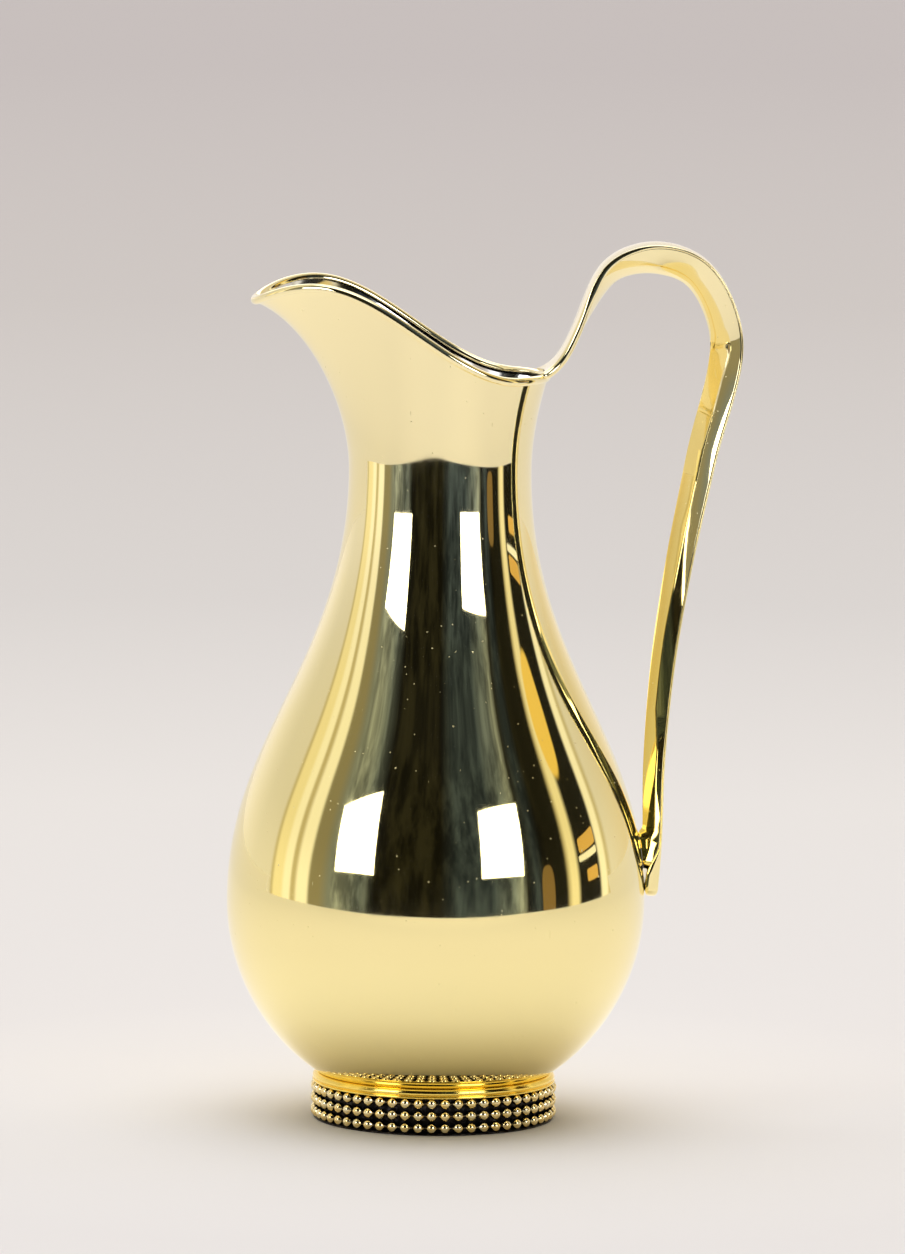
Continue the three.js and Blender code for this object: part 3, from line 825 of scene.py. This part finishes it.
# Plain colours of the things in the room
SWEEP_BEHIND = (0.86, 0.81, 0.77)
SWEEP = (0.74, 0.70, 0.66)
SWEEP_WARM = (0.71, 0.61, 0.44)
CREAM = (1.0, 0.95, 0.8)
STRAW = (0.9, 0.8, 0.52)
BRASS = (0.55, 0.47, 0.28)
UMBER = (0.26, 0.23, 0.14)
SLATE = (0.2, 0.22, 0.21)
SHADE = (0.11, 0.13, 0.14)
NIGHT = (0.03, 0.04, 0.05)
DARK = (0.012, 0.011, 0.006)
AMBER = (0.9, 0.62, 0.15)
COPPER = (0.72, 0.44, 0.12)
BROWN = (0.22, 0.14, 0.05)
# What stands round the room, by azimuth from the front in degrees
ROOM_LEFT = [
    (-180, SWEEP_BEHIND), (-150, SWEEP_BEHIND), (-125, SWEEP), (-108, SWEEP), (-105.5, BRASS),
    (-103.5, STRAW), (-97.5, STRAW), (-95, CREAM), (-91, CREAM), (-89.5, BRASS), (-87.5, BRASS),
    (-85, CREAM), (-78.5, CREAM), (-76.5, UMBER), (-70, UMBER), (-64, SLATE), (-56, SLATE),
    (-46, SHADE), (-37, DARK), (0, DARK)]
ROOM_RIGHT = [
    (0, DARK), (10, NIGHT), (30, NIGHT), (42, SHADE), (47, SLATE), (50, DARK), (56, NIGHT), (61, DARK),
    (75, DARK), (77, BRASS), (79, STRAW), (83, STRAW), (85.5, DARK), (101, DARK), (103, CREAM),
    (107, CREAM), (109.5, BRASS), (113, SWEEP), (135, SWEEP_WARM), (180, SWEEP_BEHIND)]
# Lit things in the room: azimuths and heights in degrees, squareness and colour
ROOM_PATCHES = [
    ((79, 95.5), (25, 52), 2.0, AMBER), ((87, 101), (8.5, 12), 8.0, COPPER),
    ((86, 101), (6.4, 8), 8.0, CREAM), ((91, 100), (1, 4), 8.0, COPPER), ((59, 67), (-9, 9), 3.0, BROWN)]
# Clutter makes the front of the room uneven, up to these azimuths
CLUTTER_ENDS = (60, 66)
CLUTTER_LOW, CLUTTER_HIGH = 0.55, 2.1
# Heights in degrees where the light overhead starts: for the floor, and mirrored from in front and behind
OVERHEAD_FLOOR, OVERHEAD_FRONT, OVERHEAD_BEHIND = 56, 66, 20
OVERHEAD_EDGE = 0.03
OVERHEAD_LIGHT = (2.25, 2.23, 2.2)
OVERHEAD_MIRRORED = (2.1, 2.08, 2.05)
BACKDROP = (0.626, 0.575, 0.574)


def stage_panel(name, corners, material):
    mesh = bpy.data.meshes.new(name)
    mesh.from_pydata(corners, [], [(0, 1, 2, 3)])
    mesh.materials.append(material)
    panel = bpy.data.objects.new(name, mesh)
    bpy.context.collection.objects.link(panel)
    return panel


def build_floor():
    """A pale floor with painted light: brighter near the jug, with painted shade by the foot in what the
    metal mirrors; past the table's edge the metal mirrors the room instead.
    """
    material, n = new_material("pale_floor")
    along, y, _ = n.axes(n.add("ShaderNodeTexCoord").outputs["Object"])
    x = n.math("SUBTRACT", along, AXIS_X)
    share = n.math("DIVIDE", n.level_length(x, y), FLOOR_RANGE)
    path = n.add("ShaderNodeLightPath")
    # Painted light: the mirrored floor is darker by the foot as painted shade and lifted towards the front;
    # the seen floor fades with distance as painted falloff
    reflection = n.scaled(n.stops(share, FLOOR_MIRRORED_PAINTED_LIGHT), n.ramp(y, LIFT_FROM, LIFT_TO, PAINTED_LIGHT_LIFT, 1.0))
    colour = n.mix(path.outputs["Is Camera Ray"], reflection, n.stops(share, FLOOR_SEEN_PAINTED_FALLOFF))
    pale = n.add("ShaderNodeBsdfDiffuse", {"Color": colour}).outputs[0]
    sideways = n.square(n.math("DIVIDE", x, TABLE_SIDE))
    forward = n.square(n.math("DIVIDE", n.math("MINIMUM", y, 0.0), TABLE_FRONT))
    off_table = n.math("GREATER_THAN", n.math("ADD", sideways, forward), 1.0)
    in_room = n.math("LESS_THAN", y, n.math("MULTIPLY", n.math("ABSOLUTE", x), TABLE_BACK))
    beyond = n.math("MULTIPLY", off_table, in_room)
    open_to_room = n.math("MULTIPLY", beyond, path.outputs["Is Glossy Ray"])
    room = n.add("ShaderNodeBsdfTransparent").outputs[0]
    mixed = n.add("ShaderNodeMixShader", {0: open_to_room, 1: pale, 2: room}).outputs[0]
    n.add("ShaderNodeOutputMaterial", {"Surface": mixed})
    corners = [(x * FLOOR_SIZE, y * FLOOR_SIZE, 0) for x, y in ((-1, -1), (1, -1), (1, 1), (-1, 1))]
    floor = stage_panel("floor", corners, material)


def build_softbox(name, corners, strength):
    """A lit panel that the metal mirrors; the camera doesn't see it and it hardly lights the floor."""
    material, n = new_material(name)
    mirrored = n.add("ShaderNodeLightPath").outputs["Is Glossy Ray"]
    glow = n.blend(mirrored, strength * SOFTBOX_SPILL, strength)
    lit = n.add("ShaderNodeEmission", {"Color": rgb(1.0, 1.0, 1.0), "Strength": glow}).outputs[0]
    n.add("ShaderNodeOutputMaterial", {"Surface": lit})
    points = []
    for azimuth, height in corners:
        turn = math.radians(azimuth)
        points.append((
            AXIS_X + SOFTBOX_DISTANCE * math.sin(turn), -SOFTBOX_DISTANCE * math.cos(turn), height))
    box = stage_panel(name, points, material)
    box.visible_camera = False
    box.visible_shadow = False


def room_walls(n, around, azimuth, elevation):
    """The colours of the room in each direction."""

    def half_room(room_stops):
        first = room_stops[0][0]
        half_turn = n.math("DIVIDE", n.math("SUBTRACT", azimuth, math.radians(first)), math.pi)
        return n.stops(half_turn, [((degrees - first) / 180, colour) for degrees, colour in room_stops])

    def off_centre(value, low, high, square):
        shift = n.math("SUBTRACT", value, math.radians(low + high) / 2)
        share = n.math("DIVIDE", shift, math.radians(high - low) / 2)
        return n.math("POWER", n.math("ABSOLUTE", share), square)

    walls = n.mix(n.math("GREATER_THAN", azimuth, 0.0), half_room(ROOM_LEFT), half_room(ROOM_RIGHT))
    place = n.add("ShaderNodeMapping", {"Vector": around, "Scale": (1.0, 1.0, 0.4)}).outputs[0]
    clutter = n.ramp(n.noise(place, 9.0, 5.0, 0.6), 0.36, 0.68, CLUTTER_LOW, CLUTTER_HIGH)
    start, end = (math.radians(degrees) for degrees in CLUTTER_ENDS)
    in_front = n.ramp(n.math("ABSOLUTE", azimuth), start, end, 1.0, 0.0)
    walls = n.scaled(walls, n.blend(in_front, 1.0, clutter))
    for (left, right), (low, high), square, colour in ROOM_PATCHES:
        across = off_centre(azimuth, left, right, square)
        out = n.math("ADD", across, off_centre(elevation, low, high, square))
        walls = n.mix(n.ramp(out, 0.9, 1.1, 1.0, 0.0), walls, rgb(*colour))
    return walls


def build_world():
    """The room that the metal mirrors, with a bright ceiling; the camera sees a plain backdrop."""
    world = bpy.data.worlds.new("studio")
    bpy.context.scene.world = world
    world.use_nodes = True
    n = Nodes(world.node_tree)
    around = n.add("ShaderNodeTexCoord").outputs["Generated"]
    x, y, height = n.axes(around)
    azimuth = n.math("ARCTAN2", x, n.math("MULTIPLY", y, -1.0))
    walls = room_walls(n, around, azimuth, n.math("ARCSINE", height))
    walls = n.scaled(walls, n.ramp(height, 0.0, 0.31, 1.14, 1.0))
    path = n.add("ShaderNodeLightPath")
    mirrored = path.outputs["Is Glossy Ray"]
    for_floor, from_front, from_behind = (
        math.sin(math.radians(degrees)) for degrees in (OVERHEAD_FLOOR, OVERHEAD_FRONT, OVERHEAD_BEHIND))
    lit_from = n.blend(mirrored, for_floor, n.ramp(y, 0.6, 0.86, from_front, from_behind))
    overhead = n.ramp(n.math("SUBTRACT", height, lit_from), -OVERHEAD_EDGE, OVERHEAD_EDGE)
    glow = n.mix(mirrored, rgb(*OVERHEAD_LIGHT), rgb(*OVERHEAD_MIRRORED))
    room = n.mix(overhead, walls, glow)
    studio = n.add("ShaderNodeBackground", {"Color": room, "Strength": 1.0}).outputs[0]
    backdrop = n.add("ShaderNodeBackground", {"Color": rgb(*BACKDROP), "Strength": 1.0}).outputs[0]
    mixed = n.add("ShaderNodeMixShader", {0: path.outputs["Is Camera Ray"], 1: studio, 2: backdrop})
    n.add("ShaderNodeOutputWorld", {"Surface": mixed.outputs[0]})


def build_camera():
    azimuth, pitch, yaw, roll = (math.radians(a) for a in (VIEW_AZIMUTH, VIEW_PITCH, VIEW_YAW, VIEW_ROLL))
    ahead = Vector((-math.sin(azimuth), math.cos(azimuth), 0))
    side = Vector((math.cos(azimuth), math.sin(azimuth), 0))
    up = Vector((0, 0, 1))
    turned_ahead = math.cos(yaw) * ahead + math.sin(yaw) * side
    turned_side = math.cos(yaw) * side - math.sin(yaw) * ahead
    forward = math.cos(pitch) * turned_ahead - math.sin(pitch) * up
    upward = math.sin(pitch) * turned_ahead + math.cos(pitch) * up
    right = math.cos(roll) * turned_side + math.sin(roll) * upward
    top = -math.sin(roll) * turned_side + math.cos(roll) * upward
    data = bpy.data.cameras.new("photo_camera")
    data.lens = FOCAL_PIXELS * data.sensor_width / PHOTO_HEIGHT
    data.clip_end = VIEW_END
    camera = bpy.data.objects.new("photo_camera", data)
    bpy.context.collection.objects.link(camera)
    turn = Matrix((right, top, -forward)).transposed().to_4x4()
    spot = Vector((AXIS_X, 0, VIEW_HEIGHT)) - VIEW_DISTANCE * ahead
    camera.matrix_world = Matrix.Translation(spot) @ turn
    bpy.context.scene.camera = camera


gilt = polished("silver_gilt", rgb(0.965, 0.845, 0.43), rgb(0.96, 0.855, 0.515), 0.03, 0.05)
# The collar's gilt is deeper and more saturated than the body's: painted reflection of the gold belly and
# the shaded floor it mirrors
deep_gilt_painted_reflection = polished("deep_gilt_painted_reflection", rgb(1.0, 0.74, 0.16), rgb(1.0, 0.76, 0.20), 0.1, 0.03, coat=0.0)
# The inside's silver is darker near the lip: painted shade for the dark room that the inside mirrors there
silver = polished("inner_silver", rgb(0.86, 0.85, 0.84), rgb(0.80, 0.79, 0.79), 0.08, 0.05)
dark = dark_metal("oxidised_silver")
build_body(gilt, silver)
build_rim(gilt)
handle = handle_path()
build_strap(handle, gilt)
build_trough(handle, gilt)
build_collar(deep_gilt_painted_reflection)
build_drum(dark)
# The rest ring is near black like the drum, for the dark line along the foot's base
build_rest(dark)
build_beads(bead_metal("worn_gilt"))
build_floor()
for name, (corners, strength) in SOFTBOXES.items():
    build_softbox(name, corners, strength)
build_world()
build_camera()
bpy.context.scene.view_settings.view_transform = "Standard"
